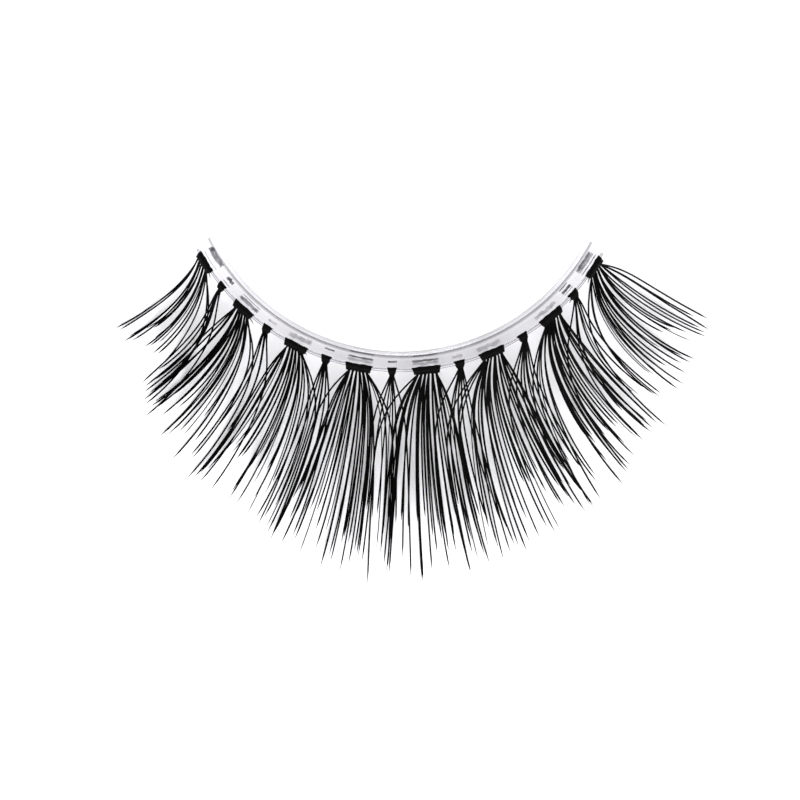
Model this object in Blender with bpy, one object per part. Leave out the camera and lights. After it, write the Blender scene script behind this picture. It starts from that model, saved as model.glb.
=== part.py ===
"""False eyelash strip: a clear curved band that carries fifteen tufts of black lash fibre.

The strip is modelled in the plane of its band, with the wearer's brow side at +Y and the tufts
fanning out towards -Y, and is then tipped and lowered until it lies on the ground on the bellies of
its tufts. Lengths are in metres.
"""
import bmesh
import bpy
import numpy as np

# Band: a flat ribbon bent edgeways along part of an ellipse, which is its outer edge
BAND_ACROSS = 0.01477
BAND_DEEP = 0.01630
BAND_HALF_ANGLE = np.radians(62.6)
BAND_WIDTH = 0.00122
BAND_THICK = 0.00012
RIM_WIDTH = 0.00032
RIM_THICK = 0.00030
BAND_STEPS = 60

# Upper half of the rim's outline, from the inner edge to the blade: shares of its width and of half
# its thickness
RIM_OUTLINE = ((0.0, 0.4), (0.2, 0.85), (0.5, 1.0), (0.8, 0.8))

# Thread that ties the tufts together, just outside the band's outer edge
THREAD_THICK = 0.00013
THREAD_GAP = 0.00003
THREAD_OVERRUN = 0.00012
THREAD_STEPS = 72

# Head of a tuft: fused fibre ends that clasp the band's edge and the thread
FIT_GAP = 0.00004
WIDE_HEAD = 0.00175
WIDE_NECK = 0.00112
NARROW_HEAD = 0.00074
NARROW_NECK = 0.00032
HEAD_FRONT = 0.00048
HEAD_SLOPE_ANGLE = np.radians(64.0)
HEAD_WALL = 0.00007
LIP_THICK = 0.00004
LIP_REACH = 0.00003
NECK_THICK = 0.00030

# Places of the neck's front and back in the head's outline
NECK_FRONT = 3
NECK_BACK = 4

# Locks of fibre: they leave the neck steeply, splay out, and curl up towards their tips
LONGEST_LASH = 0.0140
ROOT_DROP_ANGLE = np.radians(62.0)
TIP_RISE_ANGLE = np.radians(8.0)
SPLAY_FADE = 0.0026
SPLAY_SHARE = 0.55
LOCK_WIDTH = 0.00030
LOCK_DEPTH = 0.00018
LOCK_FILL = 0.72
LOCK_CROWN = 0.6
LOCK_TAPER = 2.2
NARROW_LIFT = 0.00042
LIFT_FADE = 0.0006
WIDE_LOCKS = 9
NARROW_LOCKS = 3

# Where each ring of a lock lies, as a share of its length
RING_SHARES = np.array([0.0, 0.06, 0.16, 0.30, 0.46, 0.63, 0.82, 1.0])
ROOT_SHARE = 0.06
CURL_STEPS = 200

# How the strip lies: its front is tipped up until the middle and the side tufts all touch down
REST_TIP_ANGLE = np.radians(9.4)
REST_ROLL_ANGLE = np.radians(-1.1)

# Tufts from the wearer's outer corner on the left to the right. place is a share of the band's half
# angle, head a share of the head's width, aim_from and aim_to the directions in degrees in which the
# first and last locks end, and the three lengths shares of the longest lash
TUFT_COLUMNS = ("kind", "place", "head", "aim_from", "aim_to", "length_from", "length_mid", "length_to")
TUFTS = (
    ("wide", -0.915, 0.90, -61, -38, 0.53, 0.52, 0.62),
    ("narrow", -0.799, 0.88, -47, -41, 0.59, 0.64, 0.69),
    ("wide", -0.674, 0.92, -51, -31, 0.58, 0.69, 0.77),
    ("narrow", -0.553, 0.95, -35, -27, 0.70, 0.75, 0.78),
    ("wide", -0.420, 0.94, -35, -17, 0.75, 0.80, 0.85),
    ("narrow", -0.291, 0.97, -23, -15, 0.82, 0.87, 0.86),
    ("wide", -0.158, 0.99, -21, 0, 0.88, 0.94, 0.91),
    ("narrow", -0.026, 0.84, -8, 3, 0.88, 0.99, 0.96),
    ("wide", 0.110, 1.04, -6, 14, 0.99, 0.98, 0.95),
    ("narrow", 0.243, 1.00, 5, 18, 0.94, 0.94, 0.89),
    ("wide", 0.377, 1.00, 7, 32, 0.94, 0.91, 0.83),
    ("narrow", 0.514, 1.02, 20, 32, 0.88, 0.83, 0.77),
    ("wide", 0.652, 1.03, 25, 47, 0.84, 0.81, 0.71),
    ("narrow", 0.776, 1.12, 32, 48, 0.77, 0.72, 0.64),
    ("wide", 0.911, 0.95, 41, 71, 0.73, 0.64, 0.61),
)

TUFT_ROWS = [dict(zip(TUFT_COLUMNS, values)) for values in TUFTS]

UP = np.array([0.0, 0.0, 1.0])
CLEAR_PLASTIC = (0.86, 0.86, 0.90)
BLACK_FIBRE = (0.012, 0.011, 0.011)


def clear_scene():
    for item in list(bpy.data.objects):
        bpy.data.objects.remove(item, do_unlink=True)


def finish_material(name, colour, roughness, alpha=1.0):
    """A plain surface of one colour, without metal."""
    material = bpy.data.materials.new(name)
    material.use_nodes = True
    shader = material.node_tree.nodes["Principled BSDF"]
    shader.inputs["Base Color"].default_value = (*colour, 1.0)
    shader.inputs["Roughness"].default_value = roughness
    shader.inputs["Metallic"].default_value = 0.0
    shader.inputs["Alpha"].default_value = alpha
    return material


def edge_frame(share):
    """Point, outward and along directions on the band's outer edge, at a share of its half angle."""
    turn = share * BAND_HALF_ANGLE
    point = np.array([BAND_ACROSS * np.sin(turn), -BAND_DEEP * np.cos(turn), 0.0])
    along = np.array([BAND_ACROSS * np.cos(turn), BAND_DEEP * np.sin(turn), 0.0])
    along /= np.linalg.norm(along)
    outward = np.cross(along, UP)
    return point, outward, along


def place_section(section, point, outward):
    """Points of a section, given as (outward, up) pairs, set at a point of the band's edge."""
    return point + section[:, :1] * outward + section[:, 1:] * UP


def add_ring(mesh, points):
    return [mesh.verts.new(point) for point in points]


def bridge(mesh, first, second):
    """Walls between two rings of as many points, a quad for each side."""
    count = len(first)
    for i in range(count):
        j = (i + 1) % count
        mesh.faces.new((first[i], first[j], second[j], second[i]))


def object_from(mesh, name, material):
    """One closed body from a bmesh, with its faces turned outwards."""
    bmesh.ops.recalc_face_normals(mesh, faces=mesh.faces)
    data = bpy.data.meshes.new(name)
    mesh.to_mesh(data)
    mesh.free()
    data.materials.append(material)
    data.shade_smooth()
    data.set_sharp_from_angle(angle=np.radians(40.0))
    made = bpy.data.objects.new(name, data)
    bpy.context.scene.collection.objects.link(made)
    return made


def band_section():
    """The ribbon's outline across: a thin flat blade, with a rounded thicker rim on its inner edge."""
    blade = BAND_THICK / 2
    upper = [(across * RIM_WIDTH - BAND_WIDTH, high * RIM_THICK / 2) for across, high in RIM_OUTLINE]
    upper += [(RIM_WIDTH - BAND_WIDTH, blade), (0.0, blade)]
    lower = [(out, -up) for out, up in reversed(upper)]
    return np.array(upper + lower)


def make_band(material):
    mesh = bmesh.new()
    section = band_section()
    rings = []
    for share in np.linspace(-1.0, 1.0, BAND_STEPS + 1):
        point, outward, _ = edge_frame(share)
        rings.append(add_ring(mesh, place_section(section, point, outward)))
    for first, second in zip(rings, rings[1:]):
        bridge(mesh, first, second)
    mesh.faces.new(rings[0])
    mesh.faces.new(rings[-1])
    return object_from(mesh, "clear_band", material)


def make_thread(material):
    """A round clear filament that follows the band's edge and ends just past the outermost heads."""
    curve = bpy.data.curves.new("band_thread", "CURVE")
    curve.dimensions = "3D"
    curve.bevel_depth = THREAD_THICK / 2
    curve.bevel_resolution = 2
    curve.use_fill_caps = True
    outermost = max(abs(row["place"]) for row in TUFT_ROWS)
    reach = outermost + (WIDE_HEAD / 2 + THREAD_OVERRUN) / (BAND_ACROSS * BAND_HALF_ANGLE)
    spline = curve.splines.new("POLY")
    spline.points.add(THREAD_STEPS)
    for knot, share in zip(spline.points, np.linspace(-reach, reach, THREAD_STEPS + 1)):
        point, outward, _ = edge_frame(share)
        place = point + (THREAD_GAP + THREAD_THICK / 2) * outward
        knot.co = (*place, 1.0)
    curve.materials.append(material)
    made = bpy.data.objects.new("band_thread", curve)
    bpy.context.scene.collection.objects.link(made)
    return made


def head_section():
    """A head's outline across the band, from its upper lip round the front to the groove.

    Its order is upper lip, top, neck front, neck back, lower lip and groove.
    """
    half_groove = max(BAND_THICK, THREAD_THICK) / 2 + FIT_GAP
    top = half_groove + LIP_THICK
    floor = THREAD_GAP + THREAD_THICK + FIT_GAP
    axis = np.array([np.cos(HEAD_SLOPE_ANGLE), -np.sin(HEAD_SLOPE_ANGLE)])
    facing = np.array([np.sin(HEAD_SLOPE_ANGLE), np.cos(HEAD_SLOPE_ANGLE)])
    shoulder = np.array([floor + HEAD_WALL, top])
    neck_front = shoulder + HEAD_FRONT * axis
    neck_back = neck_front - NECK_THICK * facing
    return np.array([
        (-LIP_REACH, half_groove), (-LIP_REACH, top), shoulder, neck_front, neck_back,
        (-LIP_REACH, -top), (-LIP_REACH, -half_groove), (floor, -half_groove), (floor, half_groove)])


def head_half_widths(section, head, neck):
    """Half the head's width at each point: it narrows evenly from its top to its neck."""
    axis = np.array([np.cos(HEAD_SLOPE_ANGLE), -np.sin(HEAD_SLOPE_ANGLE)])
    depth = (section - section[1]) @ axis
    depth /= depth[NECK_FRONT]
    return (head + (neck - head) * depth) / 2


def curl(lengthwise):
    """Outward and downward travel along a lash of unit length, whose slope eases evenly to its tip."""
    share = np.linspace(0.0, 1.0, CURL_STEPS + 1)
    slope = ROOT_DROP_ANGLE - (ROOT_DROP_ANGLE + TIP_RISE_ANGLE) * share
    step = 1.0 / CURL_STEPS
    middle = (slope[1:] + slope[:-1]) / 2
    out = np.concatenate([[0.0], np.cumsum(np.cos(middle) * step)])
    down = np.concatenate([[0.0], np.cumsum(np.sin(middle) * step)])
    pick = [np.interp(lengthwise, share, values) for values in (out, down, slope)]
    return pick


def lock_path(start, outward, along, aim, length, lift):
    """Middle line of a lock, one point for each ring share.

    It heads for its aim from a start moved sideways, and an offset that fades along the lock brings
    its first point back to the neck.
    """
    out, down, slope = curl(RING_SHARES)
    heading = np.array([np.sin(aim), -np.cos(aim), 0.0])
    own = np.arctan2(outward[0], -outward[1])
    splay = (aim - own) * length * SPLAY_SHARE
    run = RING_SHARES * length
    sideways = splay * (1.0 - np.exp(-run / SPLAY_FADE))
    raised = lift * (1.0 - np.exp(-run / LIFT_FADE))
    across = np.sin(slope) * raised
    upward = np.cos(slope) * raised
    path = start + sideways[:, None] * along
    path = path + (length * out + across)[:, None] * heading
    return path + (upward - length * down)[:, None] * UP


def lock_rings(path, along, half_widths, half_depths):
    """Six-sided rings square to the path, for each ring but the first and the tip."""
    travel = np.gradient(path, axis=0)
    travel /= np.linalg.norm(travel, axis=1)[:, None]
    side = along - (travel @ along)[:, None] * travel
    side /= np.linalg.norm(side, axis=1)[:, None]
    front = np.cross(travel, side)
    corners = np.array([
        (-1.0, LOCK_CROWN), (0.0, 1.0), (1.0, LOCK_CROWN),
        (1.0, -LOCK_CROWN), (0.0, -1.0), (-1.0, -LOCK_CROWN)])
    rings = []
    for k in range(1, len(path) - 1):
        across = corners[:, :1] * half_widths[k] * side[k]
        deep = corners[:, 1:] * half_depths[k] * front[k]
        rings.append(path[k] + across + deep)
    return rings


def make_tuft(name, row, material):
    """A head and its fan of locks as one body: each lock grows out of its own cell of the neck."""
    wide = row["kind"] == "wide"
    count = WIDE_LOCKS if wide else NARROW_LOCKS
    head = row["head"] * (WIDE_HEAD if wide else NARROW_HEAD)
    neck = row["head"] * (WIDE_NECK if wide else NARROW_NECK)
    lift = 0.0 if wide else NARROW_LIFT
    point, outward, along = edge_frame(row["place"])
    section = head_section()
    halves = head_half_widths(section, head, neck)

    mesh = bmesh.new()
    placed = place_section(section, point, outward)
    left = add_ring(mesh, placed - halves[:, None] * along)
    right = add_ring(mesh, placed + halves[:, None] * along)
    mesh.faces.new(left)
    mesh.faces.new(right)

    # Cells across the neck, each with three points on its front edge and three on its back edge
    middles = np.linspace(-1.0, 1.0, count, endpoint=False) + 1.0 / count
    cell = LOCK_FILL / count
    front_mid = placed[NECK_FRONT]
    back_mid = placed[NECK_BACK]
    front_row, back_row = [], []
    for middle in middles:
        offsets = [(middle + step * cell) * neck / 2 * along for step in (-1, 0, 1)]
        front_row.append(add_ring(mesh, [front_mid + offset for offset in offsets]))
        back_row.append(add_ring(mesh, [back_mid + offset for offset in offsets]))

    # Walls of the head: plain ones, then the front and back, whose lower edges hold the cells
    corners = len(section)
    for i in range(corners):
        j = (i + 1) % corners
        if i in (NECK_FRONT - 1, NECK_FRONT, NECK_BACK):
            continue
        mesh.faces.new((left[i], left[j], right[j], right[i]))
    front_edge = [vert for part in front_row for vert in part]
    back_edge = [vert for part in back_row for vert in part]
    f, b = NECK_FRONT, NECK_BACK
    mesh.faces.new([left[f - 1], left[f], *front_edge, right[f], right[f - 1]])
    mesh.faces.new([left[b + 1], left[b], *back_edge, right[b], right[b + 1]])
    fronts = [left[f]] + [vert for part in front_row for vert in (part[0], part[-1])] + [right[f]]
    backs = [left[b]] + [vert for part in back_row for vert in (part[0], part[-1])] + [right[b]]
    for k in range(0, len(fronts), 2):
        mesh.faces.new((fronts[k], fronts[k + 1], backs[k + 1], backs[k]))

    # Locks, aimed and sized from the first to the last
    start = (front_mid + back_mid) / 2
    aims = np.radians(np.interp(middles, (middles[0], middles[-1]), (row["aim_from"], row["aim_to"])))
    shares = np.interp(middles, (middles[0], 0.0, middles[-1]),
                       (row["length_from"], row["length_mid"], row["length_to"]))
    paths = np.array([
        lock_path(start + middle * neck / 2 * along, outward, along, aim, share * LONGEST_LASH, lift)
        for middle, aim, share in zip(middles, aims, shares)])
    pitch = np.linalg.norm(np.diff(paths, axis=0), axis=2).mean(axis=0)
    taper = 1.0 - RING_SHARES ** LOCK_TAPER
    half_widths = np.minimum(LOCK_FILL * pitch, LOCK_WIDTH) / 2 * taper
    thick = LOCK_DEPTH + (NECK_THICK - LOCK_DEPTH) * np.exp(-RING_SHARES / ROOT_SHARE)
    half_depths = thick / 2 * taper
    for path, front, back in zip(paths, front_row, back_row):
        last = front + back[::-1]
        for points in lock_rings(path, along, half_widths, half_depths):
            ring = add_ring(mesh, points)
            bridge(mesh, last, ring)
            last = ring
        tip = mesh.verts.new(path[-1])
        for i in range(len(last)):
            mesh.faces.new((last[i], last[(i + 1) % len(last)], tip))
    return object_from(mesh, name, material)


def lie_down(objects):
    """Tips the strip about its frame and lowers it, so that its box stands centred on the ground."""
    frame = bpy.data.objects.new("strip_frame", None)
    bpy.context.scene.collection.objects.link(frame)
    frame.rotation_euler = (-REST_TIP_ANGLE, REST_ROLL_ANGLE, 0.0)
    for item in objects:
        item.parent = frame
    bpy.context.view_layer.update()
    turned = np.array(frame.matrix_world)[:3, :3]
    points = np.concatenate([
        np.array([vert.co for vert in item.data.vertices]) for item in objects if item.type == "MESH"])
    points = points @ turned.T
    low, high = points.min(axis=0), points.max(axis=0)
    frame.location = (-(low[0] + high[0]) / 2, -(low[1] + high[1]) / 2, -low[2])


clear_scene()
band_material = finish_material("clear_plastic", CLEAR_PLASTIC, 0.12, 0.45)
thread_material = finish_material("clear_thread", CLEAR_PLASTIC, 0.2, 0.6)
fibre_material = finish_material("black_fibre", BLACK_FIBRE, 0.4)
made = [make_band(band_material), make_thread(thread_material)]
counts = {"wide": 0, "narrow": 0}
for tuft in TUFT_ROWS:
    kind = tuft["kind"]
    counts[kind] += 1
    made.append(make_tuft(f"tuft_{kind}_{counts[kind]}", tuft, fibre_material))
lie_down(made)
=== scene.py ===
import bpy
import numpy as np
from mathutils import Matrix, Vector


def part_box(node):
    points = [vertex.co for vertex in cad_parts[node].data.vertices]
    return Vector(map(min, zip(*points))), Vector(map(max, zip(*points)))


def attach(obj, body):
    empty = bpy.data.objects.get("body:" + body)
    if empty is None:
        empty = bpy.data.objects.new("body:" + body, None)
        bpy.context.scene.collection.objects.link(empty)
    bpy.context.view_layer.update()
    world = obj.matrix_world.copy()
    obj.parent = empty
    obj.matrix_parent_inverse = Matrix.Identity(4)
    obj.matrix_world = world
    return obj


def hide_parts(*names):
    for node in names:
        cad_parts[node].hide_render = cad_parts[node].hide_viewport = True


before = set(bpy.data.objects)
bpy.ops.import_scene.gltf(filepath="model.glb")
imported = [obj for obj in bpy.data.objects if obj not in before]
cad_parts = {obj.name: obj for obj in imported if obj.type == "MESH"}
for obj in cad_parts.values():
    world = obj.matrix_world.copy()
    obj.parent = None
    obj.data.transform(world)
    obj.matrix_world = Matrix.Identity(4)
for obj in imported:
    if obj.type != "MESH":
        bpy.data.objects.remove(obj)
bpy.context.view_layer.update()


# Clear band: one soft strip of clear plastic, cast flat in an arc with a thicker rounded rim along its
# inner edge and two faint ridges on its blade. The wearer glues it to the eyelid, and every tuft is
# fused to its outer edge.
BAND_ACROSS = 0.01477
BAND_DEEP = 0.01630
BAND_HALF_ANGLE = np.radians(62.6)
BAND_WIDTH = 0.00122
BAND_THICK = 0.00012
RIM_WIDTH = 0.00032
RIM_THICK = 0.00030
RIM_POINTS = 15
BLADE_POINTS = 16
RIDGE_HEIGHT = 0.000008
RIDGE_PLACES = (0.30, 0.66)
RIDGE_SPREAD = 0.05
CUT_EDGE_SHARE = 0.7
BAND_STEPS = 300
REST_TIP_ANGLE = np.radians(9.4)
REST_ROLL_ANGLE = np.radians(-1.1)
MILLIMETRE = 0.001
UP = np.array([0.0, 0.0, 1.0])


def edge_frame(shares):
    """Points, outward and along directions on the band's outer edge, for an array of shares of its half
    angle. The edge is an ellipse about the origin, along is its unit tangent, and outward is the
    tangent crossed with the vertical."""
    turn = np.asarray(shares) * BAND_HALF_ANGLE
    flat = np.zeros_like(turn)
    points = np.stack([BAND_ACROSS * np.sin(turn), -BAND_DEEP * np.cos(turn), flat], axis=-1)
    along = np.stack([BAND_ACROSS * np.cos(turn), BAND_DEEP * np.sin(turn), flat], axis=-1)
    along /= np.linalg.norm(along, axis=-1, keepdims=True)
    return points, np.cross(along, UP), along


def turned(points):
    """Points of the flat band's own frame, turned about X by the tip and then about Y by the roll."""
    tip, roll = -REST_TIP_ANGLE, REST_ROLL_ANGLE
    about_x = np.array([[1, 0, 0], [0, np.cos(tip), -np.sin(tip)], [0, np.sin(tip), np.cos(tip)]])
    about_y = np.array([[np.cos(roll), 0, np.sin(roll)], [0, 1, 0], [-np.sin(roll), 0, np.cos(roll)]])
    return points @ (about_y @ about_x).T


def skinned(rings):
    """Vertices and faces of closed bodies from an array of rings: body, step, point round, coordinate.

    Each ring runs anticlockwise about its body's path. Quads join it to the next, and the first and
    last ring of a body are closed by a flat cap."""
    bodies, steps, around = rings.shape[:3]
    place = np.arange(bodies * steps * around).reshape(bodies, steps, around)
    ahead = np.roll(place, -1, axis=2)
    walls = np.stack([place[:, :-1], ahead[:, :-1], ahead[:, 1:], place[:, 1:]], axis=-1)
    caps = place[:, 0, ::-1].tolist() + place[:, -1].tolist()
    return rings.reshape(-1, 3), walls.reshape(-1, 4).tolist() + caps


# Faces that meet more steeply than this keep a sharp edge between them
SHARP_FROM_ANGLE = np.radians(40.0)


def make_piece(name, parts):
    """One object from (rings, map, material) parts, each with a map of (along, across) in each vertex."""
    points, faces, coordinates, slots = [], [], [], []
    offset = 0
    for number, (rings, chart, _) in enumerate(parts):
        vertices, walls = skinned(rings)
        points.append(vertices)
        coordinates.append(chart.reshape(-1, 2))
        faces += [[corner + offset for corner in wall] for wall in walls]
        slots += [number] * len(walls)
        offset += len(vertices)
    mesh = bpy.data.meshes.new(name)
    mesh.from_pydata(np.concatenate(points), [], faces)
    layer = mesh.uv_layers.new(name="grain")
    corners = np.empty(len(mesh.loops), dtype=np.int32)
    mesh.loops.foreach_get("vertex_index", corners)
    layer.data.foreach_set("uv", np.concatenate(coordinates)[corners].astype(np.float32).ravel())
    mesh.polygons.foreach_set("material_index", np.array(slots, dtype=np.int32))
    for _, _, material in parts:
        mesh.materials.append(material)
    mesh.shade_smooth()
    mesh.set_sharp_from_angle(angle=SHARP_FROM_ANGLE)
    made = bpy.data.objects.new(name, mesh)
    bpy.context.scene.collection.objects.link(made)
    return made


def band_outline():
    """The band's outline across, as (outward, up): over the top from the inner edge to the outer edge
    and back below. The rim is part of an ellipse, each ridge is a bell curve on the flat blade, and the
    cut outer edge is a little thinner."""
    meet = 1.0 - np.arcsin(BAND_THICK / RIM_THICK) / np.pi
    sweep = np.linspace(0.0, meet, RIM_POINTS) * np.pi
    rim = np.stack([RIM_WIDTH * (1.0 - np.cos(sweep)) / 2, RIM_THICK / 2 * np.sin(sweep)], axis=-1)
    share = np.linspace(0.0, 1.0, BLADE_POINTS)[1:]
    ridges = sum(np.exp(-((share - middle) / RIDGE_SPREAD) ** 2) for middle in RIDGE_PLACES)
    across = rim[-1, 0] + (BAND_WIDTH - rim[-1, 0]) * share
    blade = np.stack([across, BAND_THICK / 2 + RIDGE_HEIGHT * ridges], axis=-1)
    blade[-1, 1] *= CUT_EDGE_SHARE
    upper = np.concatenate([rim, blade])
    lower = upper[:0:-1] * (1.0, -1.0)
    outline = np.concatenate([upper, lower])
    outline[:, 0] -= BAND_WIDTH
    return outline


def carried(outline, points, outward):
    """Rings of an outline of (outward, up) pairs carried along points of the band's edge."""
    return points[:, None] + outline[:, :1] * outward[:, None] + outline[:, 1:] * UP


def drawn_streaks():
    """Node group: fine streaks that run along a cast or drawn piece, from its map in millimetres."""
    group = bpy.data.node_groups.new("drawn_streaks", "ShaderNodeTree")
    for name, kind, value in (("Map", "NodeSocketVector", None), ("Along", "NodeSocketFloat", 0.2),
                              ("Across", "NodeSocketFloat", 20.0), ("Sharpness", "NodeSocketFloat", 0.3)):
        socket = group.interface.new_socket(name, in_out="INPUT", socket_type=kind)
        if value is not None:
            socket.default_value = value
    group.interface.new_socket("Streaks", in_out="OUTPUT", socket_type="NodeSocketFloat")
    nodes, links = group.nodes, group.links
    entry = nodes.new("NodeGroupInput")
    leave = nodes.new("NodeGroupOutput")
    scale = nodes.new("ShaderNodeCombineXYZ")
    stretch = nodes.new("ShaderNodeVectorMath")
    noise = nodes.new("ShaderNodeTexNoise")
    low = nodes.new("ShaderNodeMath")
    spread = nodes.new("ShaderNodeMapRange")
    stretch.operation = "MULTIPLY"
    noise.inputs["Scale"].default_value = 1.0
    noise.inputs["Detail"].default_value = 3.0
    low.operation = "SUBTRACT"
    low.inputs[0].default_value = 1.0
    links.new(entry.outputs["Along"], scale.inputs["X"])
    links.new(entry.outputs["Across"], scale.inputs["Y"])
    links.new(entry.outputs["Map"], stretch.inputs[0])
    links.new(scale.outputs["Vector"], stretch.inputs[1])
    links.new(stretch.outputs["Vector"], noise.inputs["Vector"])
    links.new(entry.outputs["Sharpness"], low.inputs[1])
    links.new(noise.outputs["Fac"], spread.inputs["Value"])
    links.new(entry.outputs["Sharpness"], spread.inputs["From Min"])
    links.new(low.outputs["Value"], spread.inputs["From Max"])
    links.new(spread.outputs["Result"], leave.inputs["Streaks"])
    return group


STREAKS = drawn_streaks()


def new_finish(name, along, across, sharpness):
    """A material with one set of streaks on its piece's map. Returns the material, its nodes and links,
    its shader, the map's node and the streaks' output."""
    material = bpy.data.materials.new(name)
    material.use_nodes = True
    nodes, links = material.node_tree.nodes, material.node_tree.links
    shader = nodes["Principled BSDF"]
    chart = nodes.new("ShaderNodeUVMap")
    chart.uv_map = "grain"
    streaks = nodes.new("ShaderNodeGroup")
    streaks.node_tree = STREAKS
    streaks.inputs["Along"].default_value = along
    streaks.inputs["Across"].default_value = across
    streaks.inputs["Sharpness"].default_value = sharpness
    links.new(chart.outputs["UV"], streaks.inputs["Map"])
    return material, nodes, links, shader, chart, streaks.outputs["Streaks"]


def add_ramp(nodes, links, source, stops):
    """A colour ramp fed by source, from (place, grey or colour) stops."""
    ramp = nodes.new("ShaderNodeValToRGB")
    points = ramp.color_ramp.elements
    while len(points) < len(stops):
        points.new(1.0)
    for point, (place, shade) in zip(points, stops):
        point.position = place
        point.color = (*np.broadcast_to(shade, 3), 1.0)
    links.new(source, ramp.inputs["Fac"])
    return ramp.outputs["Color"]


def add_blend(nodes, links, factor, first, second, mode="MIX"):
    """Two colours mixed. Each of factor, first and second is a value or another node's output."""
    mix = nodes.new("ShaderNodeMix")
    mix.data_type = "RGBA"
    mix.blend_type = mode
    for socket, given in ((mix.inputs[0], factor), (mix.inputs[6], first), (mix.inputs[7], second)):
        if isinstance(given, bpy.types.NodeSocket):
            links.new(given, socket)
        elif isinstance(given, tuple):
            socket.default_value = (*given, 1.0)
        else:
            socket.default_value = given
    return mix.outputs[2]


def add_range(nodes, links, source, low, high):
    """A value spread evenly from low to high."""
    spread = nodes.new("ShaderNodeMapRange")
    spread.inputs["To Min"].default_value = low
    spread.inputs["To Max"].default_value = high
    links.new(source, spread.inputs["Value"])
    return spread.outputs["Result"]


def add_relief(nodes, links, shader, height, depth):
    """Fine relief of that depth in metres."""
    bump = nodes.new("ShaderNodeBump")
    bump.inputs["Distance"].default_value = depth
    bump.inputs["Strength"].default_value = 1.0
    links.new(height, bump.inputs["Height"])
    links.new(bump.outputs["Normal"], shader.inputs["Normal"])


# How much light the clear plastic keeps from what lies in its shadow
SHADOW_SHARE = 0.15


def add_light_passage(nodes, links, shader):
    """Lets most of the light through to what lies in the clear plastic's shadow: seen from there, the
    plastic covers only that share."""
    path = nodes.new("ShaderNodeLightPath")
    cover = add_range(nodes, links, path.outputs["Is Shadow Ray"], 1.0, SHADOW_SHARE)
    links.new(cover, shader.inputs["Alpha"])


# Painted shade across the band, as shares of its width from the inner edge: the clear rim edge, the rim's
# body painted darker to damp its highlight, a dark painted line where the rim meets the blade that stands
# in for the rim's refraction of the darker surround, the blade, and the cut outer edge painted a little
# darker
BAND_PAINTED_SHADE = (
    (0.00, 1.00), (0.10, 1.00), (0.15, 0.91), (0.20, 0.76), (0.25, 0.52), (0.30, 0.48), (0.34, 0.52),
    (0.39, 0.86), (0.44, 1.00), (0.50, 0.96), (0.56, 0.935), (0.90, 0.94), (0.96, 0.98), (1.00, 0.84))
# How milky the plastic is along the band, as shares of its length: least at the ends
BAND_MILK = (
    (0.00, 1.00), (0.03, 0.99), (0.08, 0.88), (0.18, 0.84), (0.30, 0.79), (0.45, 0.755), (0.62, 0.755),
    (0.74, 0.79), (0.85, 0.85), (0.93, 0.90), (0.975, 0.99), (1.00, 1.00))
BAND_TINT = (0.985, 0.980, 1.0)
BAND_CLOUD = (0.935, 0.925, 0.95)
BAND_ROUGHNESS = (0.04, 0.16)
BAND_RELIEF = 0.000003
BAND_IOR = 1.46

shares = np.linspace(-1.0, 1.0, BAND_STEPS + 1)
edge_points, edge_outward, _ = edge_frame(shares)
band_run = np.concatenate([[0.0], np.cumsum(np.linalg.norm(np.diff(edge_points, axis=0), axis=1))])
BAND_LENGTH = band_run[-1]

band_plastic, nodes, links, shader, chart, streaks = new_finish("clear_band_plastic", 0.12, 14.0, 0.3)
split = nodes.new("ShaderNodeSeparateXYZ")
across = nodes.new("ShaderNodeMath")
across.operation = "DIVIDE"
across.inputs[1].default_value = BAND_WIDTH / MILLIMETRE
links.new(chart.outputs["UV"], split.inputs["Vector"])
links.new(split.outputs["Y"], across.inputs[0])
# Painted shade across the band: a dark line standing in for the rim's refraction, and a darker rim body
shades = add_ramp(nodes, links, across.outputs["Value"], BAND_PAINTED_SHADE)
clouded = add_blend(nodes, links, streaks, BAND_TINT, BAND_CLOUD)
tinted = add_blend(nodes, links, 1.0, shades, clouded, "MULTIPLY")
lengthwise = nodes.new("ShaderNodeMath")
lengthwise.operation = "DIVIDE"
lengthwise.inputs[1].default_value = BAND_LENGTH / MILLIMETRE
links.new(split.outputs["X"], lengthwise.inputs[0])
milk = add_ramp(nodes, links, lengthwise.outputs["Value"], BAND_MILK)
links.new(add_blend(nodes, links, 1.0, tinted, milk, "MULTIPLY"), shader.inputs["Base Color"])
links.new(add_range(nodes, links, streaks, *BAND_ROUGHNESS), shader.inputs["Roughness"])
add_relief(nodes, links, shader, streaks, BAND_RELIEF)
shader.inputs["Transmission Weight"].default_value = 1.0
shader.inputs["IOR"].default_value = BAND_IOR
add_light_passage(nodes, links, shader)

outline = band_outline()
flat_band = carried(outline, edge_points, edge_outward)
resting = turned(flat_band.reshape(-1, 3))
cad_low, cad_high = (np.array(corner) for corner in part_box("clear_band"))
LAID_AT = (cad_low + cad_high - resting.min(axis=0) - resting.max(axis=0)) / 2


def laid(points):
    """Points of the flat band's own frame, where the strip lies: turned, then moved into place."""
    return turned(points) + LAID_AT


def mapped(along, across):
    """A map in millimetres from lengths along and across in metres."""
    return np.stack(np.broadcast_arrays(along, across), axis=-1) / MILLIMETRE


band_map = mapped(band_run[:, None], outline[None, :, 0] + BAND_WIDTH)
band = make_piece("band_plastic", [(laid(flat_band)[None], band_map, band_plastic)])
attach(band, "root")
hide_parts("clear_band")


# Thread: a fine clear filament laid along the band's outer edge. Every head is melted round it, so
# that it shows only between the tufts.
THREAD_THICK = 0.00016
THREAD_GAP = 0.00004
THREAD_OVERRUN = 0.00012
THREAD_STEPS = 240
THREAD_SIDES = 14
THREAD_CENTRE = (0.86, 0.85, 0.88)
THREAD_CLOUD = (0.74, 0.73, 0.76)
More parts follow.
